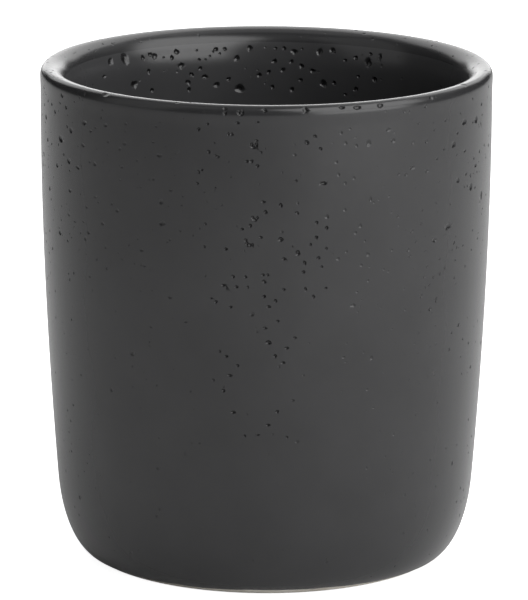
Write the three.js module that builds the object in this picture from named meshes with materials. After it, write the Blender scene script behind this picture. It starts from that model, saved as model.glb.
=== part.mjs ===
// A porcelain beaker: one fired body under a sprayed outer glaze, a poured liner glaze and a glazed base.
// Millimetres, +Z up. The origin is the middle of the foot ring, on the surface that the beaker stands on.
import * as THREE from "three";

// Outside of the glazed beaker
const HEIGHT = 88.4;
const WIDEST_RADIUS = 40.04; // half of the width at the shoulder, just under the lip
const SHOULDER_DROP = 7.6; // from the top of the lip down to the widest place
const LIP_SWELL = 0.06; // how far the lip stands out past the shoulder
const LIP_SWELL_HEIGHT = 2.2; // height over which the wall swells out to the lip
const DRAW_IN = 2.73; // how much the wall narrows from the shoulder to the bottom corner
const CORNER_HEIGHT = 14.2; // where the wall ends and the bottom corner starts
const WALL_LEAN_DEG = 4.4; // lean of the wall where the bottom corner starts
const CORNER_SIDE_PULL = 9.9; // how strongly the corner keeps to the line of the wall
const CORNER_FOOT_PULL = 2.4; // how strongly it keeps to the flat of the foot

// Lip, a tight round on the outside and a wide one that rolls down into the wall on the inside
const LIP_OUTER_WIDTH = 1.19; // from the outer side in to the top of the lip
const LIP_OUTER_DROP = 1.71; // from the top of the lip down to the outer side
const LIP_OUTER_SIDE_PULL = 1.08; // how strongly the outer round keeps to the side
const LIP_OUTER_TOP_PULL = 0.5; // how strongly it keeps to the level at the top
const LIP_INNER_WIDTH = 4.14; // from the top of the lip in to the wall's inner side
const LIP_INNER_DROP = 7.26; // from the top of the lip down to where that side starts
const LIP_INNER_TOP_PULL = 3.85; // how strongly the inner round keeps to the level at the top
const LIP_INNER_SIDE_PULL = 1.73; // how strongly it keeps to the wall's inner side
const INNER_LEAN_DEG = 1.4; // lean of the wall's inner side just under the lip

// Inside of the glazed beaker
const BASE_WALL = 3.9; // wall at the bottom corner, both coats included
const FLOOR_THICKNESS = 5; // floor over the recess, both coats included
const INNER_CORNER_RISE = 11; // height of the round between the floor and the wall
const INNER_CORNER_RUN = 9; // width of that round
const INNER_CORNER_PULL = 6; // how strongly it keeps to the wall, and to the floor

// Foot ring, and the recess inside it
const FOOT_RADIUS = 30.8;
const FOOT_WIDTH = 3;
const RECESS_DEPTH = 1.5;
const RECESS_SLOPE = 1.2; // how far the ring's inner side slopes in

// Glaze coats
const OUTER_COAT = 0.45;
const LINER_COAT = 0.45;
const BASE_COAT = 0.4;
const COAT_EDGE = 0.15; // thickness at the glaze line, where the coat thins out
const COAT_FADE = 3; // length over which it thins out there
const GLAZE_LINE = 0.5; // height of the glaze line over the standing surface
const SEAM_DROP = 2.4; // from the top of the lip down to where the outer coat meets the liner
const BOND_GAP = 0.02; // hairline between the porcelain and each coat
const SEAM_GAP = 0.05; // hairline round the edge of the liner and of the base coat

// Steps along each stretch of the outline, and facets round the beaker
const BARE_STEPS = 2;
const CORNER_STEPS = 7;
const WALL_STEPS = 5;
const SWELL_STEPS = 2;
const LIP_OUTER_STEPS = 4;
const LIP_INNER_STEPS = 4;
const ROUND_STEPS = 56;

const lean = THREE.MathUtils.degToRad(WALL_LEAN_DEG);
const innerLean = THREE.MathUtils.degToRad(INNER_LEAN_DEG);
const upWall = new THREE.Vector2(Math.sin(lean), Math.cos(lean));
const downInside = new THREE.Vector2(-Math.sin(innerLean), -Math.cos(innerLean));
const lipRadius = WIDEST_RADIUS + LIP_SWELL;
const cornerRadius = WIDEST_RADIUS - DRAW_IN;
const floorTop = RECESS_DEPTH + FLOOR_THICKNESS;
const recessRadius = FOOT_RADIUS - FOOT_WIDTH - RECESS_SLOPE;

const at = (radius, height) => new THREE.Vector2(radius, height);

// A smooth stretch of outline. Each pull is the distance that the stretch keeps to its direction at that end.
function bend(start, startDirection, startPull, end, endDirection, endPull) {
  return new THREE.CubicBezierCurve(
    start,
    start.clone().addScaledVector(startDirection, startPull),
    end.clone().addScaledVector(endDirection, -endPull),
    end,
  );
}

// Points from one place to another on a curve, each with the direction that faces away from the porcelain.
function trace(curve, steps, from = 0, to = 1) {
  const marks = [];
  for (let i = 0; i <= steps; i++) {
    const place = from + ((to - from) * i) / steps;
    const along = curve.getTangent(place);
    marks.push({ point: curve.getPoint(place), out: at(along.y, -along.x) });
  }
  return marks;
}

// Stretches in a row as one line of marks, each shared end kept once.
function join(...stretches) {
  return stretches.reduce((line, stretch) => line.concat(stretch.slice(1)));
}

// Where a curve that only rises, or only falls, reaches a height.
function placeAtHeight(curve, height) {
  const rises = curve.getPoint(1).y > curve.getPoint(0).y;
  let before = 0;
  let after = 1;
  for (let i = 0; i < 40; i++) {
    const middle = (before + after) / 2;
    if (curve.getPoint(middle).y < height === rises) before = middle;
    else after = middle;
  }
  return after;
}

// The bottom corner, from the outer edge of the foot ring to the start of the wall.
const corner = bend(
  at(FOOT_RADIUS, 0),
  at(1, 0),
  CORNER_FOOT_PULL,
  at(cornerRadius, CORNER_HEIGHT),
  upWall,
  CORNER_SIDE_PULL,
);
const glazeLine = placeAtHeight(corner, GLAZE_LINE);

// The lip, from its outer side to its top, and from there down to the wall's inner side.
const lipSide = at(lipRadius, HEIGHT - LIP_OUTER_DROP);
const lipTop = at(lipRadius - LIP_OUTER_WIDTH, HEIGHT);
const insideTop = at(lipTop.x - LIP_INNER_WIDTH, HEIGHT - LIP_INNER_DROP);
const lipOuter = bend(lipSide, at(0, 1), LIP_OUTER_SIDE_PULL, lipTop, at(-1, 0), LIP_OUTER_TOP_PULL);
const lipInner = bend(lipTop, at(-1, 0), LIP_INNER_TOP_PULL, insideTop, downInside, LIP_INNER_SIDE_PULL);
const outerCoatEnd = placeAtHeight(lipInner, HEIGHT - SEAM_DROP);
const linerStart = placeAtHeight(lipInner, HEIGHT - SEAM_DROP - SEAM_GAP);

// The bare porcelain from the foot ring up to the glaze line. It sinks gently under the edge of the coat.
function bareMarks() {
  const marks = trace(corner, BARE_STEPS, 0, glazeLine);
  marks.forEach((mark, i) => {
    mark.sunk = ((COAT_EDGE + BOND_GAP) * i) / BARE_STEPS;
  });
  return marks;
}

// The surface of the outer coat, from the glaze line up the wall and over the lip to its inner side.
function outerMarks() {
  const shoulder = at(WIDEST_RADIUS, HEIGHT - SHOULDER_DROP);
  const wallPull = (shoulder.y - CORNER_HEIGHT) / 3;
  const wall = bend(at(cornerRadius, CORNER_HEIGHT), upWall, wallPull, shoulder, at(0, 1), wallPull);
  const swellStart = at(WIDEST_RADIUS, lipSide.y - LIP_SWELL_HEIGHT);
  const swellPull = LIP_SWELL_HEIGHT / 3;
  const swell = bend(swellStart, at(0, 1), swellPull, lipSide, at(0, 1), swellPull);
  const marks = join(
    trace(corner, CORNER_STEPS, glazeLine),
    trace(wall, WALL_STEPS),
    trace(new THREE.LineCurve(shoulder, swellStart), 1),
    trace(swell, SWELL_STEPS),
    trace(lipOuter, LIP_OUTER_STEPS),
    trace(lipInner, LIP_INNER_STEPS, 0, outerCoatEnd),
  );
  let run = 0;
  marks.forEach((mark, i) => {
    if (i > 0) run += mark.point.distanceTo(marks[i - 1].point);
    const fullness = Math.min(run / COAT_FADE, 1);
    mark.coat = COAT_EDGE + (OUTER_COAT - COAT_EDGE) * fullness;
    mark.sunk = mark.coat + BOND_GAP;
  });
  return marks;
}

// The surface of the liner, from just under the outer coat's end in the lip down to the middle of the floor.
function linerMarks() {
  const cornerTop = at(cornerRadius - BASE_WALL, floorTop + INNER_CORNER_RISE);
  const floorEdge = at(cornerTop.x - INNER_CORNER_RUN, floorTop);
  const downWall = upWall.clone().negate();
  const wallPull = (insideTop.y - cornerTop.y) / 3;
  const marks = join(
    trace(lipInner, LIP_INNER_STEPS, linerStart),
    trace(bend(insideTop, downInside, wallPull, cornerTop, downWall, wallPull), WALL_STEPS),
    trace(bend(cornerTop, downWall, INNER_CORNER_PULL, floorEdge, at(-1, 0), INNER_CORNER_PULL), CORNER_STEPS),
    trace(new THREE.LineCurve(floorEdge, at(0, floorTop)), 1),
  );
  marks.forEach((mark) => {
    mark.coat = LINER_COAT;
    mark.sunk = LINER_COAT + BOND_GAP;
  });
  return marks;
}

// The marks' points, moved in from the surface by the depth that each mark gives under a name.
function under(marks, depthName) {
  return marks.map((mark) => mark.point.clone().addScaledVector(mark.out, -mark[depthName]));
}

// A piece turned round the beaker's axis from its half section, standing up along +Z.
function turned(name, section, look) {
  const geometry = new THREE.LatheGeometry(section, ROUND_STEPS).rotateX(Math.PI / 2);
  const mesh = new THREE.Mesh(geometry, new THREE.MeshStandardMaterial(look));
  mesh.name = name;
  return mesh;
}

// Wall, floor, lip and foot ring, formed and fired as one piece of white porcelain.
function porcelainBody() {
  const underside = [
    at(0, RECESS_DEPTH + BASE_COAT + BOND_GAP),
    at(recessRadius, RECESS_DEPTH + BASE_COAT + BOND_GAP),
    at(recessRadius, RECESS_DEPTH),
    at(FOOT_RADIUS - FOOT_WIDTH, 0),
  ];
  const outside = under(bareMarks(), "sunk").concat(under(outerMarks(), "sunk").slice(1));
  const section = [...underside, ...outside, ...under(linerMarks(), "sunk")];
  return turned("porcelain_body", section, { color: 0xd9d5cc, roughness: 0.6, metalness: 0 });
}

// A coat's half section: back along its porcelain side, then forth along its own surface.
function shell(marks) {
  const surface = marks.map((mark) => mark.point);
  return [...under(marks, "coat").reverse(), ...surface];
}

// The satin charcoal coat on the outside and over the lip.
function outerGlaze() {
  const section = shell(outerMarks());
  return turned("outer_glaze", section.concat(section[0]), { color: 0x3a3a3b, roughness: 0.42, metalness: 0 });
}

// The same glaze poured inside. Its section starts and ends on the axis, at the middle of the floor.
function innerGlaze() {
  return turned("inner_glaze", shell(linerMarks()), { color: 0x353536, roughness: 0.42, metalness: 0 });
}

// The glaze inside the foot ring, a disc that lies in the recess.
function baseGlaze() {
  const edge = recessRadius - SEAM_GAP;
  const section = [
    at(0, RECESS_DEPTH),
    at(edge, RECESS_DEPTH),
    at(edge, RECESS_DEPTH + BASE_COAT),
    at(0, RECESS_DEPTH + BASE_COAT),
  ];
  return turned("base_glaze", section, { color: 0x3a3a3b, roughness: 0.42, metalness: 0 });
}

const beaker = new THREE.Group();
beaker.add(porcelainBody(), outerGlaze(), innerGlaze(), baseGlaze());

export default beaker;
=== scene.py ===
# A porcelain beaker under a pitted charcoal glaze, on a pale studio floor.
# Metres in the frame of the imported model. Sizes are written in millimetres and turned to metres by MM.
import math
from collections import namedtuple

import bpy
import numpy as np
from mathutils import Matrix, Vector
from mathutils.geometry import delaunay_2d_cdt
from mathutils.kdtree import KDTree


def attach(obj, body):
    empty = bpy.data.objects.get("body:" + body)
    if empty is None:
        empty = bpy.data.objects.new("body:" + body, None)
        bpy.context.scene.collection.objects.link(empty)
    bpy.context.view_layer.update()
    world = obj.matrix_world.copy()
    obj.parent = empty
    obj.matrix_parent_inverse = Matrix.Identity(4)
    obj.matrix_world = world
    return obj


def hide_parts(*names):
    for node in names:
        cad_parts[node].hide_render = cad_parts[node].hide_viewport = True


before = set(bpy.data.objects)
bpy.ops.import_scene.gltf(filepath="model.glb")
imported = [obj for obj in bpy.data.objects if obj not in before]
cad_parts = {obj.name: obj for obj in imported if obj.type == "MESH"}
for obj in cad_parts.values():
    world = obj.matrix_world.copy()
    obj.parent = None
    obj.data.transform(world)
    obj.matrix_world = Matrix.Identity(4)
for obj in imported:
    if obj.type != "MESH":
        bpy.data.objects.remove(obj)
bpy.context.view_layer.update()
MM = 0.001

# Camera
# A long lens a little above the beaker, which sees over the front of the lip to the back of the inside.

# The frame and the focal length are in pixels, and the distances in millimetres.
FRAME_WIDTH = 528
FRAME_HEIGHT = 600
FOCAL_PIXELS = 4856
CAMERA_DISTANCE = 869.9
CAMERA_ELEVATION = math.radians(13.2)
CAMERA_ROLL = math.radians(0.216)
CAMERA_SIDESTEP = -0.29
AIM_HEIGHT = 45.45
SENSOR_WIDTH = 36

camera_right = np.array([1, 0, 0])
camera_up = np.array([0, math.sin(CAMERA_ELEVATION), math.cos(CAMERA_ELEVATION)])
camera_back = np.array([0, -math.cos(CAMERA_ELEVATION), math.sin(CAMERA_ELEVATION)])
camera_place = np.array([CAMERA_SIDESTEP, 0, AIM_HEIGHT]) + CAMERA_DISTANCE * camera_back

camera_data = bpy.data.cameras.new("camera")
camera_data.sensor_width = SENSOR_WIDTH
camera_data.lens = FOCAL_PIXELS * SENSOR_WIDTH / FRAME_HEIGHT
camera_data.clip_start = 0.05
camera_data.clip_end = 50
camera = bpy.data.objects.new("camera", camera_data)
bpy.context.scene.collection.objects.link(camera)
facing = Matrix(np.stack([camera_right, camera_up, camera_back], axis=1)).to_4x4()
roll = Matrix.Rotation(CAMERA_ROLL, 4, "Z")
camera.matrix_world = Matrix.Translation(Vector(camera_place * MM)) @ facing @ roll
bpy.context.scene.camera = camera


# Porcelain body
# Wall, floor, lip and foot ring are one piece of white porcelain, formed in a mould and fired.
# Only the foot ring and a narrow strip above it are bare; glaze is fused over all the rest.

# Outside: a soft bottom corner, a wall that leans out and then turns upright, and a slight swell below the
# lip. A pull is how far a bend keeps to its direction at that end.
HEIGHT = 88.4
WIDEST_RADIUS = 40.04
SHOULDER_DROP = 7.6
LIP_SWELL = 0.06
LIP_SWELL_HEIGHT = 2.2
DRAW_IN = 2.73
CORNER_HEIGHT = 14.2
WALL_LEAN = math.radians(4.4)
CORNER_SIDE_PULL = 9.9
CORNER_FOOT_PULL = 2.4
# Lip: a tight outer round and a wide, slowly falling inner one.
LIP_OUTER_WIDTH = 1.19
LIP_OUTER_DROP = 1.71
LIP_OUTER_SIDE_PULL = 1.08
LIP_OUTER_TOP_PULL = 0.5
LIP_INNER_WIDTH = 4.14
LIP_INNER_DROP = 7.26
LIP_INNER_TOP_PULL = 3.85
LIP_INNER_SIDE_PULL = 1.73
# Inside: the wall grows thinner towards the bottom corner, and runs into the floor in a wide hollow.
INNER_LEAN = math.radians(1.4)
BASE_WALL = 3.9
FLOOR_TOP = 6.5
INNER_CORNER_RISE = 11
INNER_CORNER_RUN = 9
INNER_CORNER_PULL = 6
# Foot ring, and the recess inside it.
FOOT_RADIUS = 30.8
FOOT_WIDTH = 3
FOOT_ROUND = 0.35
RECESS_DEPTH = 1.5
RECESS_SLOPE = 1.2
# Room for the glaze: the height of the glaze line, how much further the coat is wiped back at the front, how
# far under the rim the two coats meet, and the thickness of each coat and of the bond below it.
GLAZE_LINE = 0.5
WIPED_BACK = 0.9
SEAM_DROP = 2.4
COAT = 0.45
COAT_EDGE = 0.1
COAT_FADE = 3
BASE_COAT = 0.4
BOND_GAP = 0.02

# Mesh: columns round the axis, fine steps of the outline in each row, the rows' heights, and the points of
# a bend before it is spaced evenly.
COLUMNS = 256
FINE_STEPS = 10
WALL_ROW = 1.3
CORNER_ROW = 0.8
LIP_ROW = 0.22
BEND_POINTS = 2000
NEARLY_ZERO = 1e-9

UP_WALL = np.array([math.sin(WALL_LEAN), math.cos(WALL_LEAN)])
UP_INSIDE = np.array([math.sin(INNER_LEAN), math.cos(INNER_LEAN)])
UP = np.array([0.0, 1.0])
OUTWARD = np.array([1.0, 0.0])
lip_radius = WIDEST_RADIUS + LIP_SWELL
lip_side = (lip_radius, HEIGHT - LIP_OUTER_DROP)
lip_top = (lip_radius - LIP_OUTER_WIDTH, HEIGHT)
inside_top = (lip_top[0] - LIP_INNER_WIDTH, HEIGHT - LIP_INNER_DROP)
corner_radius = WIDEST_RADIUS - DRAW_IN
recess_radius = FOOT_RADIUS - FOOT_WIDTH - RECESS_SLOPE
column_angles = np.arange(COLUMNS) * math.tau / COLUMNS


def spaced(line, row):
    """The same line with even points, FINE_STEPS of them for each row of the mesh."""
    line = np.asarray(line, float)
    run = np.concatenate([[0], np.cumsum(np.hypot(*np.diff(line, axis=0).T))])
    rows = max(1, round(run[-1] / row))
    places = np.linspace(0, run[-1], rows * FINE_STEPS + 1)
    return np.stack([np.interp(places, run, line[:, 0]), np.interp(places, run, line[:, 1])], axis=1)


def bend(start, start_direction, start_pull, end, end_direction, end_pull, row):
    """A smooth stretch of outline from one point and direction to another."""
    t = np.linspace(0, 1, BEND_POINTS)[:, None]
    start = np.asarray(start, float)
    end = np.asarray(end, float)
    leave = start + start_pull * start_direction
    arrive = end - end_pull * end_direction
    line = (1 - t) ** 3 * start + 3 * (1 - t) ** 2 * t * leave + 3 * (1 - t) * t**2 * arrive + t**3 * end
    return spaced(line, row)


def joined(*stretches):
    """Stretches in a row as one line, each shared end kept once."""
    return np.concatenate([stretches[0]] + [stretch[1:] for stretch in stretches[1:]])


def lip_inner_sides():
    """The lip from its top down to the wall inside, in two stretches that meet where the two coats meet."""
    top_pull = LIP_INNER_TOP_PULL
    line = bend(lip_top, -OUTWARD, top_pull, inside_top, -UP_INSIDE, LIP_INNER_SIDE_PULL, LIP_ROW)
    seam = np.searchsorted(HEIGHT - line[:, 1], SEAM_DROP)
    return spaced(line[: seam + 1], LIP_ROW), spaced(line[seam:], LIP_ROW)


def outside_outline():
    """The finished outside, from the foot ring's outer edge up and over the lip to where the liner starts."""
    foot_edge = (FOOT_RADIUS, 0)
    corner_top = (corner_radius, CORNER_HEIGHT)
    shoulder = (WIDEST_RADIUS, HEIGHT - SHOULDER_DROP)
    swell_start = (WIDEST_RADIUS, lip_side[1] - LIP_SWELL_HEIGHT)
    wall_pull = (shoulder[1] - CORNER_HEIGHT) / 3
    swell_pull = LIP_SWELL_HEIGHT / 3
    return joined(
        bend(foot_edge, OUTWARD, CORNER_FOOT_PULL, corner_top, UP_WALL, CORNER_SIDE_PULL, CORNER_ROW),
        bend(corner_top, UP_WALL, wall_pull, shoulder, UP, wall_pull, WALL_ROW),
        spaced([shoulder, swell_start], WALL_ROW),
        bend(swell_start, UP, swell_pull, lip_side, UP, swell_pull, CORNER_ROW),
        bend(lip_side, UP, LIP_OUTER_SIDE_PULL, lip_top, -OUTWARD, LIP_OUTER_TOP_PULL, LIP_ROW),
        lip_inner_sides()[0],
    )


def inside_outline():
    """The finished inside, from the middle of the floor out and up to where the outer coat starts."""
    corner_top = (corner_radius - BASE_WALL, FLOOR_TOP + INNER_CORNER_RISE)
    floor_edge = (corner_top[0] - INNER_CORNER_RUN, FLOOR_TOP)
    wall_pull = (inside_top[1] - corner_top[1]) / 3
    pull = INNER_CORNER_PULL
    return joined(
        spaced([(0, FLOOR_TOP), floor_edge], WALL_ROW),
        bend(floor_edge, OUTWARD, pull, corner_top, UP_WALL, pull, CORNER_ROW),
        bend(corner_top, UP_WALL, wall_pull, inside_top, UP_INSIDE, wall_pull, WALL_ROW),
        lip_inner_sides()[1][::-1],
    )


def underside_outline():
    """The bare porcelain below, from the middle of the recess out to the foot ring's outer edge."""
    ceiling = RECESS_DEPTH + BASE_COAT + BOND_GAP
    slope_end = np.array([FOOT_RADIUS - FOOT_WIDTH, 0.0])
    slope = np.array([RECESS_SLOPE, -RECESS_DEPTH]) / math.hypot(RECESS_SLOPE, RECESS_DEPTH)
    round_start = slope_end - FOOT_ROUND * slope
    round_end = slope_end + FOOT_ROUND * OUTWARD
    return joined(
        spaced([(0, ceiling), (recess_radius, ceiling)], 3 * WALL_ROW),
        spaced([(recess_radius, ceiling), (recess_radius, RECESS_DEPTH)], WALL_ROW),
        spaced([(recess_radius, RECESS_DEPTH), round_start], CORNER_ROW),
        bend(round_start, slope, FOOT_ROUND / 2, round_end, OUTWARD, FOOT_ROUND / 2, LIP_ROW / 2),
        spaced([round_end, (FOOT_RADIUS, 0)], CORNER_ROW),
    )


class Turned:
    """A surface turned round the beaker's axis, with a flat map of it on which small circles stay circles.

    A place on it is a run, which is the distance along the outline, and an angle round the axis. On the map
    it keeps its angle, and lies as far from the middle as spread says. side is 1 where the surface faces
    right along its outline, and -1 where it faces left.
    """

    def __init__(self, outline, side):
        self.outline = outline
        self.side = side
        self.run = np.concatenate([[0], np.cumsum(np.hypot(*np.diff(outline, axis=0).T))])
        self.rows = self.run[::FINE_STEPS]
        along = np.gradient(outline, self.run, axis=0)
        along /= np.linalg.norm(along, axis=1)[:, None]
        self.out = side * np.stack([along[:, 1], -along[:, 0]], axis=1)
        growth = (1 - along[:, 0]) / np.maximum(outline[:, 0], NEARLY_ZERO)
        steps = np.diff(self.run) * (growth[1:] + growth[:-1]) / 2
        self.spread = outline[:, 0] * np.exp(np.concatenate([[0], np.cumsum(steps)]))

    def at(self, run, values):
        return np.interp(run, self.run, values)

    def radius(self, run):
        return self.at(run, self.outline[:, 0])

    def height(self, run):
        return self.at(run, self.outline[:, 1])

    def on_map(self, run, angle):
        spread = self.at(run, self.spread)
        return np.stack([spread * np.cos(angle), spread * np.sin(angle)], axis=-1)

    def off_map(self, places):
        spread = np.hypot(places[:, 0], places[:, 1])
        return np.interp(spread, self.spread, self.run), np.arctan2(places[:, 1], places[:, 0])

    def map_scale(self, run):
        return self.at(run, self.spread) / self.radius(run)

    def normals(self, run, angle):
        across = self.at(run, self.out[:, 0])
        up = self.at(run, self.out[:, 1])
        return np.stack([across * np.cos(angle), across * np.sin(angle), up], axis=-1)

    def points(self, run, angle, depth=0.0):
        radius = self.radius(run)
        surface = np.stack([radius * np.cos(angle), radius * np.sin(angle), self.height(run)], axis=-1)
        return surface - np.asarray(depth)[..., None] * self.normals(run, angle)


outside = Turned(outside_outline(), 1)
inside = Turned(inside_outline(), -1)
underside = Turned(underside_outline(), 1)
lower_half = outside.outline[:, 1] < HEIGHT / 2
glaze_start = float(np.interp(GLAZE_LINE, outside.outline[lower_half, 1], outside.run[lower_half]))


def outer_thickness(run):
    """The outer coat thins out towards the glaze line, over the stretch that the sponge passed."""
    return COAT_EDGE + (COAT - COAT_EDGE) * np.clip((run - glaze_start - WIPED_BACK) / COAT_FADE, 0, 1)


def faces_between(ring, next_ring):
    """Faces from one ring of points to the next. A ring is a list of numbers, one number for a middle."""
    ring = np.resize(ring, COLUMNS)
    next_ring = np.resize(next_ring, COLUMNS)
    quads = np.stack([ring, np.roll(ring, -1), np.roll(next_ring, -1), next_ring], axis=1)
    return [tuple(dict.fromkeys(quad)) for quad in quads.tolist()]


def as_piece(name, points, faces, normals):
    """A mesh object from points in millimetres. A normal of zero is left to the mesh."""
    mesh = bpy.data.meshes.new(name)
    mesh.from_pydata((points * MM).tolist(), [], faces)
    mesh.shade_smooth()
    mesh.normals_split_custom_set_from_vertices(normals.tolist())
    piece = bpy.data.objects.new(name, mesh)
    bpy.context.scene.collection.objects.link(piece)
    return piece


def porcelain_piece():
    """The body's half section, turned: underside, foot ring, outside, over the lip, inside and floor.

    Where it shows, below the glaze line, it has five rows for each of the coat's, and under the glaze
    one for two.
    """
    to_glaze = np.clip(outside.run / glaze_start, 0, 1) * (COAT_EDGE + BOND_GAP)
    sunk = np.where(outside.run < glaze_start, to_glaze, outer_thickness(outside.run) + BOND_GAP)
    out_line = outside.outline - sunk[:, None] * outside.out
    in_line = inside.outline - (COAT + BOND_GAP) * inside.out
    bare = int(np.searchsorted(outside.run, glaze_start)) + FINE_STEPS
    section = joined(
        underside.outline[::FINE_STEPS],
        out_line[: bare + 1 : FINE_STEPS // 5],
        out_line[bare :: 2 * FINE_STEPS],
        in_line[:: -2 * FINE_STEPS],
    )
    rings = []
    numbers = []
    for radius, height in section:
        count = COLUMNS if 0 < radius else 1
        angle = column_angles[:count]
        level = np.full(count, height)
        numbers.append(sum(map(len, rings)) + np.arange(count))
        rings.append(np.stack([radius * np.cos(angle), radius * np.sin(angle), level], axis=1))
    faces = [face for pair in zip(numbers, numbers[1:]) for face in faces_between(*pair)]
    points = np.concatenate(rings)
    return as_piece("fired_body", points, faces, np.zeros_like(points))


def linear(hex_colour):
    """An sRGB colour such as #a0b0c0 as linear RGBA."""
    parts = [int(hex_colour[i : i + 2], 16) / 255 for i in (1, 3, 5)]
    return tuple(v / 12.92 if v <= 0.04045 else ((v + 0.055) / 1.055) ** 2.4 for v in parts) + (1.0,)


def add(material, kind, settings=None, *first, **named):
    """Adds a node with its settings and what goes into it: values or other nodes' outputs.

    first go to its first sockets in order, and named to the sockets of that name, where _ is a space.
    """
    node = material.node_tree.nodes.new(kind)
    for name, value in (settings or {}).items():
        setattr(node, name, value)
    filled = [(node.inputs[number], value) for number, value in enumerate(first)]
    for name, value in named.items():
        wanted = name.replace("_", " ")
        filled.append((next(s for s in node.inputs if s.enabled and s.name == wanted), value))
    for socket, value in filled:
        if isinstance(value, bpy.types.NodeSocket):
            material.node_tree.links.new(value, socket)
        else:
            socket.default_value = value
    return node


def result(node):
    """A node's output in use."""
    return next(s for s in node.outputs if s.enabled)


def empty_material(name):
    material = bpy.data.materials.new(name)
    material.use_nodes = True
    material.node_tree.nodes.clear()
    return material


# The real grain, about 0.05 mm, is too fine to show in the render, so it is drawn at 0.35 mm. The stain is
# the width of the faint darker and paler patches that the kiln leaves.
PORCELAIN_GRAIN = 0.35
PORCELAIN_STAIN = 9


def bare_porcelain():
    """Unglazed hard porcelain, sponged clean before firing: matt, off-white, with a fine dry grain."""
    material = empty_material("bare fired porcelain")
    place = add(material, "ShaderNodeTexCoord").outputs["Object"]
    stain = add(material, "ShaderNodeTexNoise", Vector=place, Scale=1 / (PORCELAIN_STAIN * MM), Detail=4.0)
    grain = add(material, "ShaderNodeTexNoise", Vector=place, Scale=1 / (PORCELAIN_GRAIN * MM), Detail=3.0)
    stained = add(material, "ShaderNodeMapRange", Value=result(stain), From_Min=0.35, From_Max=0.65)
    colour = add(
        material,
        "ShaderNodeMix",
        {"data_type": "RGBA"},
        Factor=result(stained),
        A=linear("#c9c3b8"),
        B=linear("#dedad2"),
    )
    roughness = add(material, "ShaderNodeMapRange", Value=result(grain), To_Min=0.55, To_Max=0.75)
    bump = add(material, "ShaderNodeBump", Strength=0.3, Distance=0.02 * MM, Height=result(grain))
    shader = add(
        material,
        "ShaderNodeBsdfPrincipled",
        Base_Color=result(colour),
        Roughness=result(roughness),
        IOR=1.5,
        Normal=result(bump),
    )
    add(material, "ShaderNodeOutputMaterial", Surface=result(shader))
    return material


body = porcelain_piece()
body.data.materials.append(bare_porcelain())
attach(body, "root")
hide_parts("porcelain_body")


# Outer glaze
# A satin charcoal glaze, dipped over the outside and the lip, and wiped off the foot ring.
# Gas that broke through it in the kiln left hundreds of small steep pits that never healed over.

# Flat map: a ring of points beyond this radius has all the columns, and what is closer than the three
# distances below it counts as the same.
FULL_RING_RADIUS = 22
SAME_PLACE = 1e-5
SAME_RUN = 1e-4
SAME_DEPTH = 1e-3
# Edge of a coat: its rows, how far the wiped line at the foot wanders, how thin the coat gets there, and
# over what height it does.
EDGE_ROWS = 4
EDGE_WAVE = 0.08
THINNEST_EDGE = 0.01
GLAZE_FEATHER = 0.7
# A pit is as deep as its half width and PIT_BASE together, times its steepness. A crater is steep up to
# its rim. A dimple and a shallow one have partly healed over, which left them a soft rim.
CRATER = 0.62
DIMPLE = 0.24
SHALLOW = 0.21
PIT_BASE = 0.17
DEEPEST_PIT = 0.36
HARD_RIM = 1
SOFT_RIM = 1.7
BOWL_CURVE = 2.5
# Pits at random: the least and the greatest half width, how much it and the oval spread, as shares, and
# how many half widths a new pit keeps off the others.
SMALLEST_PIT = 0.1
LARGEST_PIT = 0.85
PIT_SIZE_SPREAD = 0.45
PIT_OVAL_SPREAD = 0.12
ROOM_ROUND_PIT = 1.1
# How uneven a rim is, as a share of its half width, and how many lobes it gets and how much weaker each is.
SEEN_PIT_UNEVEN = 0.12
CHANCE_PIT_UNEVEN = 0.09
RIM_LOBES = np.array([2, 3, 4])
LOBE_WEAKENING = np.array([1, 1.5, 2.5])
# Mesh of a pit: half widths at which it gets more points, how many, its rings as shares of the half width,
# and how far the coat's own rows keep off.
SMALL_PIT = 0.22
LARGE_PIT = 0.42
POINTS_ROUND_PIT = (8, 12, 18)
SMALL_PIT_RINGS = (1, 0.85, 0.55)
LARGE_PIT_RINGS = (1, 0.93, 0.82, 0.65, 0.4)
PIT_CLEARANCE = 1.15
# Finding the pits of the photograph: the step of the search, and the most that a pit near the outline is
# taken to be foreshortened across and upwards.
SEEN_STEP = 0.2
NARROWEST_VIEW = 0.35
LOWEST_VIEW = 0.6
# Steps in which the area of a surface is added up.
AREA_STEPS = 500

Pit = namedtuple("Pit", "run angle across rise depth swells turns rim_softness")


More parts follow.
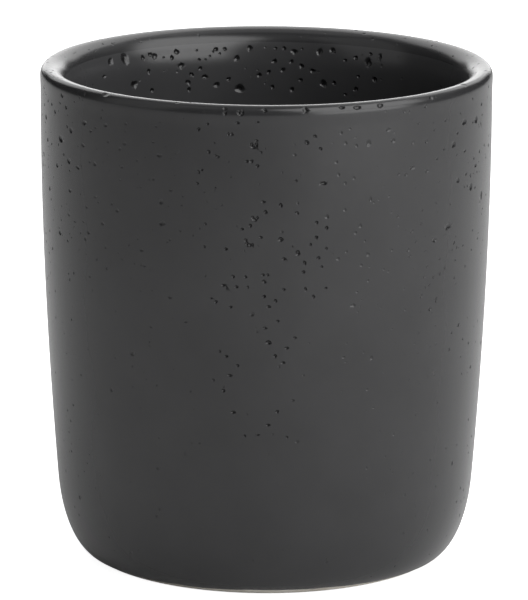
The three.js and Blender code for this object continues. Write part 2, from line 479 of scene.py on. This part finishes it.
class Pits:
    """The pits of one surface, and how deep they leave it."""

    def __init__(self, surface, seed):
        self.surface = surface
        self.random = np.random.default_rng(seed)
        self.pits = []

    def add(self, run, angle, across, rise, unevenness, steepness):
        """A pit at a run and an angle, with its half width, its half height and how uneven its rim is."""
        size = math.sqrt(across * rise)
        depth = min(DEEPEST_PIT, steepness * (PIT_BASE + size)) * self.random.uniform(0.85, 1)
        swells = unevenness * self.random.uniform(0.3, 1, 3) / LOBE_WEAKENING
        turns = self.random.uniform(0, math.tau, 3)
        rim_softness = HARD_RIM if steepness == CRATER else SOFT_RIM
        self.pits.append(Pit(run, angle, across, rise, depth, swells, turns, rim_softness))

    def rim(self, pit, bearing):
        """Distance from a pit's middle to its rim, in a direction measured from level towards up."""
        oval = 1 / np.hypot(np.cos(bearing) / pit.across, np.sin(bearing) / pit.rise)
        uneven = pit.swells[:, None] * np.cos(RIM_LOBES[:, None] * bearing + pit.turns[:, None])
        return oval * (1 + uneven.sum(axis=0))

    def ring_places(self):
        """Places on the flat map of rings of points in each pit, and of its middle."""
        places = []
        for pit in self.pits:
            size = math.sqrt(pit.across * pit.rise)
            middle = self.surface.on_map(pit.run, pit.angle)
            level = np.array([-math.sin(pit.angle), math.cos(pit.angle)])
            upward = np.array([math.cos(pit.angle), math.sin(pit.angle)])
            count = POINTS_ROUND_PIT[(size >= SMALL_PIT) + (size >= LARGE_PIT)]
            places.append(middle[None])
            for number, share in enumerate(LARGE_PIT_RINGS if size > LARGE_PIT else SMALL_PIT_RINGS):
                bearing = (np.arange(count) + 0.5 * (number % 2)) * math.tau / count
                reach = share * self.surface.map_scale(pit.run) * self.rim(pit, bearing)
                across_map = np.outer(reach * np.cos(bearing), level)
                up_map = np.outer(reach * np.sin(bearing), upward)
                places.append(middle + across_map + up_map)
        return np.concatenate(places)

    def depths(self, places):
        """Depth below the surface at places on the flat map, and which of them lie in or next to a pit."""
        run, angle = self.surface.off_map(places)
        tree = KDTree(len(places))
        for number, point in enumerate(self.surface.points(run, angle)):
            tree.insert(point, number)
        tree.balance()
        depth = np.zeros(len(places))
        pitted = np.zeros(len(places), bool)
        for pit in self.pits:
            middle = Vector(self.surface.points(pit.run, pit.angle))
            found = [number for _, number, _ in tree.find_range(middle, 2 * max(pit.across, pit.rise))]
            offset = places[found] - self.surface.on_map(pit.run, pit.angle)
            offset = offset / self.surface.map_scale(pit.run)
            level = offset @ np.array([-math.sin(pit.angle), math.cos(pit.angle)])
            upward = offset @ np.array([math.cos(pit.angle), math.sin(pit.angle)])
            share = np.hypot(level, upward) / self.rim(pit, np.arctan2(upward, level))
            bowl = (1 - np.clip(share, 0, 1) ** BOWL_CURVE) ** pit.rim_softness
            depth[found] = np.maximum(depth[found], pit.depth * bowl)
            pitted[found] |= share < PIT_CLEARANCE
        return depth, pitted


def seen(surface, first_run, last_run):
    """Runs and angles of places on a surface that face the camera, and the column and row of each."""
    runs = np.arange(first_run, last_run, SEEN_STEP)
    angles = np.arange(0, math.tau, SEEN_STEP / WIDEST_RADIUS)
    run = np.repeat(runs, len(angles))
    angle = np.tile(angles, len(runs))
    away = surface.points(run, angle) - camera_place
    shown = (surface.normals(run, angle) * away).sum(axis=1) < 0
    away = away[shown]
    depth = -(away @ camera_back)
    right = FOCAL_PIXELS * (away @ camera_right) / depth
    down = -FOCAL_PIXELS * (away @ camera_up) / depth
    column = FRAME_WIDTH / 2 + right * math.cos(CAMERA_ROLL) - down * math.sin(CAMERA_ROLL)
    row = FRAME_HEIGHT / 2 + right * math.sin(CAMERA_ROLL) + down * math.cos(CAMERA_ROLL)
    return run[shown], angle[shown], column, row


def add_seen_pits(pits, first_run, last_run, marks, steepness):
    """Pits where the photograph shows them. A mark is a column, a row, a width and a height in pixels."""
    surface = pits.surface
    run, angle, column, row = seen(surface, first_run, last_run)
    pixels_per_mm = FOCAL_PIXELS / CAMERA_DISTANCE
    for mark_column, mark_row, width, height in marks:
        nearest = np.argmin((column - mark_column) ** 2 + (row - mark_row) ** 2)
        pit_run = float(run[nearest])
        pit_angle = float(angle[nearest])
        level = np.array([-math.sin(pit_angle), math.cos(pit_angle), 0])
        upward = np.cross(surface.normals(pit_run, pit_angle), level)
        across = width / 2 / pixels_per_mm / max(NARROWEST_VIEW, abs(level @ camera_right))
        rise = height / 2 / pixels_per_mm / max(LOWEST_VIEW, abs(upward @ camera_up))
        pits.add(pit_run, pit_angle, across, rise, SEEN_PIT_UNEVEN, steepness)


def scatter_pits(pits, first_run, last_run, per_square_mm, likelihood, usual_size):
    """Pits at random over a stretch of the surface, clear of the ones that are there."""
    surface = pits.surface
    random = pits.random
    runs = np.linspace(first_run, last_run, AREA_STEPS)
    area = np.concatenate([[0], np.cumsum(surface.radius(runs[1:]) * np.diff(runs) * math.tau)])
    tries = round(area[-1] * per_square_mm)
    try_runs = np.interp(random.uniform(0, area[-1], tries), area, runs)
    try_angles = random.uniform(0, math.tau, tries)
    try_sizes = usual_size * np.exp(PIT_SIZE_SPREAD * random.standard_normal(tries))
    taken = random.uniform(0, 1, tries) < likelihood(surface.height(try_runs), try_angles)
    middles = [surface.points(pit.run, pit.angle) for pit in pits.pits]
    sizes = [max(pit.across, pit.rise) for pit in pits.pits]
    for run, angle, size in zip(try_runs[taken], try_angles[taken], try_sizes[taken]):
        size = min(max(size, SMALLEST_PIT), LARGEST_PIT)
        middle = surface.points(run, angle)
        if middles:
            room = np.linalg.norm(np.array(middles) - middle, axis=1) - sizes
            if room.min() < ROOM_ROUND_PIT * size:
                continue
        oval = math.exp(PIT_OVAL_SPREAD * random.standard_normal())
        pits.add(run, angle, size * oval, size / oval, CHANCE_PIT_UNEVEN, SHALLOW)
        middles.append(middle)
        sizes.append(size)


def grid_places(surface, rows):
    """Rings of points along a surface, on its flat map. Near the axis a ring has fewer points."""
    places = []
    for row in rows:
        share = 1 if row == rows[-1] else min(1, surface.radius(row) / FULL_RING_RADIUS)
        count = max(1, round(COLUMNS * share))
        places.append(surface.on_map(np.full(count, row), np.arange(count) * math.tau / count))
    return np.concatenate(places)


def edge_rows(size):
    """Distances from an edge at which its rounding or feather needs rows."""
    return size * (1 - np.cos(np.linspace(0, math.pi / 2, EDGE_ROWS + 1)))


def unmoved(run, angle):
    """The shift of a coat whose edge stays in place."""
    return np.zeros_like(run)


def coat_piece(name, pits, rows, thickness, edge_depth, shift=unmoved):
    """A closed coat of glaze: a pitted front, and a plain back that lies on the porcelain.

    thickness and edge_depth are functions of the run. shift is how far a place moves along the outline,
    as a function of its run and angle.
    """
    surface = pits.surface
    grid = grid_places(surface, rows)
    places = np.concatenate([grid, pits.ring_places()])
    depth, pitted = pits.depths(places)
    depth[depth < SAME_DEPTH] = 0
    kept = ~pitted
    kept[len(grid) :] = True
    kept_places = [Vector(place) for place in places[kept]]
    found, _, faces, sources, _, _ = delaunay_2d_cdt(kept_places, [], [], 0, SAME_PLACE)
    depth = depth[kept][[source[0] for source in sources]]
    run, angle = surface.off_map(np.array([tuple(place) for place in found]))
    at_start = run < rows[0] + SAME_RUN
    at_end = run > rows[-1] - SAME_RUN
    faces = [tuple(face[:: -surface.side]) for face in faces if not at_start[face].all()]
    rounding = edge_depth(run)
    front = surface.points(run + shift(run, angle), angle, depth + rounding)
    normals = surface.normals(run, angle)
    normals[(depth > 0) | (rounding > 0)] = 0

    def in_order(members):
        numbers = np.flatnonzero(members)
        return numbers[np.argsort((angle[numbers] + SAME_RUN) % math.tau)]

    closed_middle = surface.radius(rows[0]) < SAME_RUN
    rings = [] if closed_middle else [in_order(at_start)]
    layers = [front]
    for row in np.append(rows[:-1:2], rows[-1]):
        count = 1 if row == rows[0] and closed_middle else COLUMNS
        row_runs = np.full(count, row)
        moved_runs = row_runs + shift(row_runs, column_angles[:count])
        rings.append(sum(map(len, layers)) + np.arange(count))
        layers.append(surface.points(moved_runs, column_angles[:count], thickness(moved_runs)))
    rings.append(in_order(at_end))
    rings = rings[:: -surface.side]
    for pair in zip(rings, rings[1:]):
        faces.extend(faces_between(*pair))
    points = np.concatenate(layers)
    back_count = len(points) - len(front)
    piece = as_piece(name, points, faces, np.concatenate([normals, np.zeros((back_count, 3))]))
    # Each point's depth as a share of the deepest pit, which the glaze turns into painted shade in the pits.
    share = np.concatenate([depth / DEEPEST_PIT, np.zeros(back_count)])
    attribute = piece.data.attributes.new("pit", "FLOAT", "POINT")
    attribute.data.foreach_set("value", share.astype(np.float32))
    return piece


# The mottle is the width of the glaze's cloudy patches. The crystals that make it satin are hundredths of a
# millimetre wide, too fine to show in the render, so the grain is drawn at 0.5 mm.
GLAZE_MOTTLE = 14
GLAZE_GRAIN = 0.5


def satin_glaze(name, dark, light):
    """Iron-black satin glaze, charcoal with a soft shine, and painted shade almost black deep in its pits."""
    material = empty_material(name)
    place = add(material, "ShaderNodeTexCoord").outputs["Object"]
    pit = add(material, "ShaderNodeAttribute", {"attribute_name": "pit"}).outputs["Fac"]
    mottle = add(material, "ShaderNodeTexNoise", Vector=place, Scale=1 / (GLAZE_MOTTLE * MM), Detail=5.0)
    grain = add(material, "ShaderNodeTexNoise", Vector=place, Scale=1 / (GLAZE_GRAIN * MM), Detail=3.0)
    mottled = add(material, "ShaderNodeMapRange", Value=result(mottle), From_Min=0.3, From_Max=0.7)
    colour = add(
        material,
        "ShaderNodeMix",
        {"data_type": "RGBA"},
        Factor=result(mottled),
        A=linear(dark),
        B=linear(light),
    )
    # Painted shade: the colour goes almost to black with the depth of a pit.
    painted_pit_shade = add(
        material, "ShaderNodeMix", {"data_type": "RGBA"}, Factor=pit, A=result(colour), B=linear("#040405")
    )
    roughness = add(material, "ShaderNodeMapRange", Value=result(grain), To_Min=0.22, To_Max=0.27)
    pit_roughness = add(
        material, "ShaderNodeMix", {"data_type": "FLOAT"}, Factor=pit, A=result(roughness), B=0.25
    )
    bump = add(material, "ShaderNodeBump", Strength=0.1, Distance=0.02 * MM, Height=result(grain))
    shader = add(
        material,
        "ShaderNodeBsdfPrincipled",
        Base_Color=result(painted_pit_shade),
        Roughness=result(pit_roughness),
        IOR=1.5,
        Normal=result(bump),
    )
    add(material, "ShaderNodeOutputMaterial", Surface=result(shader))
    return material


# Pits that stand out, listed in the photograph's frame: column, row, width and height of each. A
# ragged one is made of a few that overlap.
UPPER_FRONT_PITS = [
    (224.7, 108.8, 5, 4), (224.9, 113.2, 5, 5), (238.4, 112.5, 4, 6), (242.8, 112.3, 4, 6),
    (240.6, 114.4, 5, 3), (264.3, 110.2, 5, 5), (306, 110.2, 7, 7), (341.9, 108, 6, 4),
    (357.5, 108, 8, 5), (380.3, 105.5, 7, 5), (237.2, 122.6, 5, 3), (207.9, 123.5, 3, 3),
    (257.4, 122.6, 4, 2), (198.4, 129.5, 4, 4), (228.7, 134, 3, 4), (231.4, 134.3, 4, 4),
    (252, 145.5, 4, 6), (256.5, 145, 4, 6), (254, 148, 6, 3), (256.1, 140.3, 4, 3),
    (260.9, 152.6, 3, 3), (213.9, 142.5, 2, 2), (208.3, 151.9, 4, 4), (215, 156, 3, 3),
    (217.3, 157, 4, 3), (247, 160.8, 4, 3), (251, 162, 4, 4), (257.4, 166, 4, 4), (198.6, 172, 3, 4),
    (201.5, 170, 4, 2), (197.2, 183.3, 3, 3), (215.7, 188.1, 2, 2), (307.4, 142.9, 5, 5),
    (315.1, 137, 4, 4), (321, 149.3, 4, 4), (296.6, 181.2, 3, 3), (323.3, 183.3, 7, 4),
]
MIDDLE_FRONT_PITS = [
    (263.4, 202, 5, 3), (280.7, 205.6, 4, 5), (265.6, 212.5, 4, 5), (296.6, 213.3, 4, 4),
    (252.5, 217.5, 4, 4), (254.8, 220.2, 5, 3), (257.2, 217.8, 3, 4), (250, 226.3, 4, 4),
    (242.4, 228.6, 4, 3), (205.3, 224.5, 3, 3), (245.8, 240.5, 4, 5), (247.3, 244, 5, 5),
    (250, 245.5, 5, 4), (253, 245.2, 3, 5), (260.9, 237.9, 5, 3), (280.2, 240, 6, 5),
    (298.3, 253.5, 5, 6), (292.3, 246.9, 2, 2), (284.5, 258.5, 6, 3), (225.6, 248.6, 5, 3),
    (204, 246.5, 3, 3), (304.3, 263, 4, 5), (303.5, 272.5, 4, 4), (263.5, 274.5, 4, 3),
    (268, 274.5, 4, 3), (263.9, 281.4, 5, 4), (232.9, 277, 4, 4), (245.8, 276.6, 4, 3),
    (223.4, 285.1, 6, 3), (235.9, 286.5, 5, 3), (248.4, 287.1, 3, 3), (211.4, 298.1, 4, 2),
    (284.1, 290, 4, 3), (306.1, 289.5, 3, 5), (275.5, 301, 4, 4), (264.6, 297, 4, 4),
    (317, 222.7, 4, 4), (326.9, 227.7, 4, 4), (316.4, 237.7, 4, 4), (310.8, 244.9, 3, 3),
    (326.3, 249, 3, 3), (318, 258, 4, 4), (321.7, 266.9, 3, 3), (325.9, 288.2, 3, 3),
    (313.8, 296.4, 4, 4),
]
LOWER_FRONT_PITS = [
    (216, 302, 4, 4), (230.4, 306.7, 4, 3), (268.8, 307, 6, 3), (277.7, 321.9, 4, 3),
    (264.7, 328.1, 5, 3), (268.8, 342.9, 6, 5), (295.1, 338.4, 4, 3), (287.1, 348.2, 6, 3),
    (275.4, 356.1, 4, 4), (283.6, 362.6, 6, 3), (219.4, 351.7, 3, 3), (226.4, 356.8, 4, 3),
    (237.9, 366, 4, 3), (229.5, 375.1, 6, 3), (212.9, 379.9, 3, 3), (223.2, 390.6, 4, 4),
    (292.9, 400.4, 4, 2), (233.5, 412.1, 6, 3), (277.7, 412, 4, 4), (268.3, 425, 5, 3),
    (258.5, 435.3, 5, 2), (244.2, 435.7, 3, 3), (286.6, 437.5, 3, 3),
]
RIGHT_PITS = [
    (350.4, 128.8, 3, 3), (341.2, 133.3, 4, 4), (345, 143.5, 4, 5), (355.8, 145.2, 4, 4),
    (336.1, 162.5, 4, 4), (339, 174.3, 4, 4), (344.6, 182.9, 4, 4), (353.6, 178, 4, 4),
    (345, 209.8, 4, 4), (373.6, 203, 3, 3), (388.8, 129.5, 6, 4), (393, 140.6, 5, 5),
    (412.4, 142.4, 3, 5), (426.3, 141.1, 4, 4), (412.5, 167.6, 6, 4), (405.8, 174.4, 4, 4),
    (398.4, 175, 3, 3), (426.7, 171.4, 4, 4), (388.8, 196.4, 3, 3), (397.7, 217, 3, 3),
    (423.1, 210.7, 3, 3), (421.4, 224.4, 3, 3), (412.4, 231.8, 4, 4), (327.1, 216.3, 5, 5),
    (355.4, 233.2, 4, 4), (364.5, 240.8, 3, 3), (416.1, 241.9, 3, 3), (434.4, 240.5, 5, 5),
    (392, 250.7, 3, 3), (407.7, 250, 4, 4), (367.7, 254.5, 5, 5), (346.3, 251.4, 3, 3),
    (360.7, 265.4, 4, 4), (423.9, 276.7, 3, 3), (429.5, 285.4, 3, 3), (436.4, 299.6, 3, 7),
    (430, 309, 4, 4), (352.6, 305.1, 6, 4), (404.2, 309.6, 3, 3),
]
RIGHT_EDGE_PITS = [
    (430.9, 98.5, 4, 4), (445.8, 120.3, 3, 3), (464.2, 122, 5, 7), (475.7, 119.1, 4, 8),
    (434.9, 130, 3, 3), (457.3, 132.5, 3, 3), (453.8, 144.4, 5, 7), (443.7, 148.9, 3, 3),
    (464.8, 151.2, 3, 3), (437.2, 158.8, 3, 3), (457.9, 180, 4, 6), (465.9, 174.3, 3, 3),
    (470.5, 186.8, 4, 9), (475.7, 165.4, 3, 4), (447.6, 226.5, 7, 6), (481.4, 195.5, 2, 10),
]
LEFT_PITS = [
    (62.1, 95.6, 3, 5), (55.2, 111.7, 2, 5), (84.5, 123.1, 5, 5), (71.3, 129.9, 4, 6),
    (61.1, 138.9, 6, 7), (90.7, 131.7, 3, 3), (105.2, 124.9, 4, 4), (82.8, 145, 4, 4),
    (108, 141.5, 3, 3), (124.7, 143.6, 4, 4), (47.8, 139.2, 2, 5), (69, 161.7, 4, 6),
    (57.4, 164.9, 3, 5), (78.3, 167, 4, 4), (94.8, 164.5, 4, 4), (121.8, 166.8, 3, 3),
    (50.1, 188, 2, 5), (70.1, 190.9, 3, 4), (95.4, 196.6, 3, 3), (86.8, 207.5, 3, 3),
    (111.6, 204.4, 3, 3), (117.2, 210.7, 4, 4), (69, 214.4, 3, 3), (60.4, 232.8, 3, 5),
    (102.3, 223, 4, 4),
]

# Pits at random on the outside: tries in each square millimetre, the usual half width, the heights at which
# they are fewest and most, and how far round from the front the listed ones and the wiped edge reach.
OUTER_SEED = 11
OUTER_PITS_IN_MM2 = 0.15
OUTER_PIT_SIZE = 0.21
FEWEST_PITS_HEIGHT = 12
MOST_PITS_HEIGHT = 70
PICKED_SPREAD = 0.12
WIPED_SPREAD = 0.18


def outer_likelihood(height, angle):
    """The pits are thickest below the lip and thin out towards the foot, in loose drifts round the beaker.

    At the front, the listed ones leave little room for more.
    """
    up = np.clip((height - FEWEST_PITS_HEIGHT) / (MOST_PITS_HEIGHT - FEWEST_PITS_HEIGHT), 0, 1)
    drift = 0.72 + 0.16 * np.sin(2 * angle + 0.08 * height) + 0.12 * np.sin(5 * angle - 0.05 * height + 2)
    picked = 1 - 0.7 * np.exp((-np.sin(angle) - 1) / PICKED_SPREAD)
    return (0.3 + 0.7 * up**1.3) * drift * picked


def glaze_wave(run, angle):
    """The hand-wiped glaze line wanders a little, and is wiped back furthest at the front."""
    wave = np.sin(5 * angle + 1) + 0.7 * np.sin(13 * angle + 4) + 0.5 * np.sin(31 * angle + 2)
    front = np.exp((-np.sin(angle) - 1) / WIPED_SPREAD)
    return (EDGE_WAVE * wave + WIPED_BACK * front) * np.clip(1 - (run - glaze_start) / COAT_FADE, 0, 1)


def feather(run):
    """The coat's front falls to a thin edge at the glaze line."""
    return (COAT_EDGE - THINNEST_EDGE) * np.clip(1 - (run - glaze_start) / GLAZE_FEATHER, 0, 1) ** 2


last_run = outside.run[-1]
outer_rows = np.append(glaze_start + edge_rows(GLAZE_FEATHER), outside.rows[outside.rows > glaze_start + 1])
outer_pits = Pits(outside, OUTER_SEED)
seen_kinds = [
    (UPPER_FRONT_PITS, CRATER),
    (MIDDLE_FRONT_PITS, CRATER),
    (LOWER_FRONT_PITS, CRATER),
    (RIGHT_PITS, DIMPLE),
    (RIGHT_EDGE_PITS, SHALLOW),
    (LEFT_PITS, SHALLOW),
]
for marks, steepness in seen_kinds:
    add_seen_pits(outer_pits, glaze_start + 2, last_run - 3, marks, steepness)
scatter_pits(outer_pits, glaze_start + 1, last_run - 1, OUTER_PITS_IN_MM2, outer_likelihood, OUTER_PIT_SIZE)
outer = coat_piece("outer_coat", outer_pits, outer_rows, outer_thickness, feather, glaze_wave)
outer.data.materials.append(satin_glaze("satin charcoal glaze", "#2a2a2b", "#303031"))
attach(outer, "root")
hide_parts("outer_glaze")


# Inner glaze
# The same glaze, poured in and out of the beaker. It meets the outer coat on the inner side of the lip.
# Its colours are painted a little lighter than the outside's, as light on the inside, and its pits near the
# rim are larger.

# The photograph shows the upper 30 mm of the inside. Further down all pits are at random.
INSIDE_IN_VIEW = 30
INNER_SEED = 23
INNER_PITS_IN_MM2 = 0.07
INNER_PIT_SIZE = 0.19
INNER_FEWEST_HEIGHT = 10
INNER_MOST_HEIGHT = 70
INSIDE_PITS = [
    (124.3, 56, 8, 13), (110.2, 60.2, 6, 8), (104.2, 76.2, 4, 4), (134.3, 84.6, 7, 9),
    (148.4, 40.8, 5, 5), (154.4, 56.8, 6, 7), (142.7, 57.5, 4, 6), (149, 71.6, 4, 6),
    (152.4, 90.3, 4, 6), (176.5, 46.1, 6, 6), (172.5, 57.5, 4, 6), (164.1, 57.5, 3, 3),
    (181.2, 66.2, 7, 7), (195.9, 34.1, 3, 3), (215.7, 40.8, 5, 5), (224, 39.4, 4, 4),
    (225.4, 47.1, 4, 4), (213.3, 51.5, 3, 3), (220, 53.1, 3, 3), (210, 56.2, 3, 3), (205.3, 59.8, 3, 3),
    (199, 60.2, 4, 4), (236.8, 58.8, 7, 7), (249.5, 41.4, 7, 7), (200, 68.9, 5, 5), (192, 74.6, 5, 5),
    (188.2, 81.9, 6, 6), (205.3, 76.9, 8, 5), (217, 84.6, 8, 6), (228.4, 79.3, 5, 5),
    (239.5, 88.3, 13, 9), (258.9, 74.9, 6, 6), (189.2, 90.3, 5, 5), (283.9, 41.7, 5, 5),
    (275.4, 48.1, 4, 4), (294.4, 52.3, 8, 7), (302.8, 39.5, 3, 3), (320, 51.8, 7, 9),
    (333.3, 45.7, 7, 7), (274, 61.8, 6, 6), (291.2, 61.9, 5, 5), (282.9, 70.4, 6, 6),
    (268.5, 72.2, 5, 5), (302, 66.5, 6, 6), (312.6, 71.1, 6, 6), (323, 83.7, 8, 9), (300.6, 79.7, 5, 5),
    (292, 89.8, 6, 6), (272.6, 87.3, 5, 5), (334.3, 82.8, 5, 5), (345, 60, 4, 4), (355.4, 58, 5, 5),
    (370.8, 48.8, 4, 4), (367.7, 63, 8, 10), (380.3, 57.2, 4, 9), (358.6, 76.8, 4, 4),
    (374.7, 79.6, 6, 6), (355.3, 89.8, 6, 6), (344.9, 94.7, 4, 4),
]


def inner_likelihood(height, angle):
    """As outside, the pits thin out downwards, in drifts."""
    up = np.clip((height - INNER_FEWEST_HEIGHT) / (INNER_MOST_HEIGHT - INNER_FEWEST_HEIGHT), 0, 1)
    drift = 0.75 + 0.25 * np.sin(3 * angle + 0.07 * height + 1)
    return (0.45 + 0.55 * up) * drift


inner_pits = Pits(inside, INNER_SEED)
add_seen_pits(inner_pits, inside.run[-1] - INSIDE_IN_VIEW, inside.run[-1] - 1, INSIDE_PITS, CRATER)
scatter_pits(inner_pits, 1, inside.run[-1] - 1, INNER_PITS_IN_MM2, inner_likelihood, INNER_PIT_SIZE)
inner = coat_piece(
    "liner_coat",
    inner_pits,
    inside.rows,
    lambda run: np.full_like(run, COAT),
    lambda run: np.zeros_like(run),
)
# Painted light: the same glaze in lighter colours, to light the inside.
inner.data.materials.append(satin_glaze("satin charcoal liner glaze painted lighter", "#39393a", "#404041"))
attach(inner, "root")
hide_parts("inner_glaze")


# Base glaze
# A thin disc of the same glaze that lies in the shallow recess inside the foot ring.
# Its edge is rounded where the glaze drew back from the wiped ring.
BASE_EDGE_GAP = 0.05
BASE_EDGE_ROUND = 0.15
BASE_FLAT_END = 0.4
BASE_SEED = 5
BASE_PITS_IN_MM2 = 0.03
BASE_PIT_SIZE = 0.2


def rounded(distance, size):
    """How deep a rounded edge lies below the surface, at a distance from the edge."""
    left = np.clip(1 - distance / size, 0, 1)
    return size * (1 - np.sqrt(1 - left**2))


def base_likelihood(height, angle):
    """Pits are as likely all over the base."""
    return np.ones_like(height)


base_radius = recess_radius - BASE_EDGE_GAP
base_surface = Turned(spaced([(0, RECESS_DEPTH), (base_radius, RECESS_DEPTH)], WALL_ROW), 1)
flat_rows = base_surface.rows[base_surface.rows < base_radius - BASE_FLAT_END]
base_rows = np.concatenate([flat_rows, base_radius - edge_rows(BASE_EDGE_ROUND)[::-1]])
base_pits = Pits(base_surface, BASE_SEED)
scatter_pits(base_pits, 1, base_radius - 1, BASE_PITS_IN_MM2, base_likelihood, BASE_PIT_SIZE)
base = coat_piece(
    "base_coat",
    base_pits,
    base_rows,
    lambda run: np.full_like(run, BASE_COAT),
    lambda run: rounded(base_radius - run, BASE_EDGE_ROUND),
)
base.data.materials.append(satin_glaze("satin charcoal base glaze", "#2a2a2b", "#303031"))
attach(base, "root")
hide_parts("base_glaze")


# Floor and light
# A matt white table top that runs out of sight. A large softbox at the right front, with a low panel under
# it, gives the broad shine on the right, and a low and a high panel behind light the rim and both sides.

# The floor lies a hair under the foot ring, so that the two don't share a plane.
FLOOR_REACH = 3000
FLOOR_DROP = 0.02
# The table's glow where it is looked at, and the share of it that shows in the glaze.
BACKGROUND_GLOW = 0.92
GLOSSY_SHARE = 0.04
# The strength of the light from all round.
ROOM_LIGHT = 0.03
WHITE = (1, 1, 1, 1)

scene = bpy.context.scene
scene.view_settings.view_transform = "Standard"


def white_table():
    """Matt white paint, and a glow that only makes the background white where it is looked at."""
    material = empty_material("matt white table")
    ray = add(material, "ShaderNodeLightPath").outputs
    seen_ray = add(
        material, "ShaderNodeMath", {"operation": "MAXIMUM"}, ray["Is Camera Ray"], ray["Is Transmission Ray"]
    )
    share = add(
        material,
        "ShaderNodeMath",
        {"operation": "MULTIPLY_ADD"},
        ray["Is Glossy Ray"],
        GLOSSY_SHARE,
        result(seen_ray),
    )
    strength = add(material, "ShaderNodeMath", {"operation": "MULTIPLY"}, result(share), BACKGROUND_GLOW)
    paint = add(material, "ShaderNodeBsdfDiffuse", Color=linear("#e6e6e6"))
    glow = add(material, "ShaderNodeEmission", Color=WHITE, Strength=result(strength))
    both = add(material, "ShaderNodeAddShader", None, result(paint), result(glow))
    add(material, "ShaderNodeOutputMaterial", Surface=result(both))
    return material


floor_mesh = bpy.data.meshes.new("floor")
level = -FLOOR_DROP * MM
reach = FLOOR_REACH * MM
floor_corners = [
    (-reach, -reach, level),
    (reach, -reach, level),
    (reach, reach, level),
    (-reach, reach, level),
]
floor_mesh.from_pydata(floor_corners, [], [(0, 1, 2, 3)])
floor = bpy.data.objects.new("floor", floor_mesh)
scene.collection.objects.link(floor)
floor_mesh.materials.append(white_table())

world = bpy.data.worlds.new("studio")
scene.world = world
world.use_nodes = True
background = world.node_tree.nodes["Background"]
background.inputs["Color"].default_value = WHITE
background.inputs["Strength"].default_value = ROOM_LIGHT


def softbox(name, azimuth, elevation, distance, width, height, strength):
    """A soft panel that faces the beaker, in degrees and metres. Azimuth runs from the front to the right."""
    turn = math.radians(azimuth)
    rise = math.radians(elevation)
    away = Vector((math.sin(turn) * math.cos(rise), -math.cos(turn) * math.cos(rise), math.sin(rise)))
    data = bpy.data.lights.new(name, "AREA")
    data.shape = "RECTANGLE"
    data.size = width
    data.size_y = height
    data.energy = strength * width * height * math.pi
    panel = bpy.data.objects.new(name, data)
    panel.location = Vector((0, 0, AIM_HEIGHT * MM)) + away * distance
    panel.rotation_euler = away.to_track_quat("Z", "Y").to_euler()
    panel.visible_camera = False
    scene.collection.objects.link(panel)


softbox("front right softbox", 54, 43, 0.9, 1.06, 0.73, 3.0)
softbox("low front right panel", 49, 9.5, 0.9, 0.84, 0.3, 3.3)
softbox("low back panel", 180, 8.5, 1.5, 1.09, 0.45, 2.35)
softbox("high back panel", 180, 39.5, 1.5, 2.18, 1.2, 1.7)
softbox("left fill", -70, 33, 1.0, 0.73, 1.15, 0.43)
softbox("right back panel", 130, 50, 1.2, 0.85, 1.0, 0.3)
softbox("top panel", 180, 80, 1.2, 1.1, 0.55, 0.6)
softbox("high front panel", 0, 62, 1.1, 1.2, 0.5, 0.2)
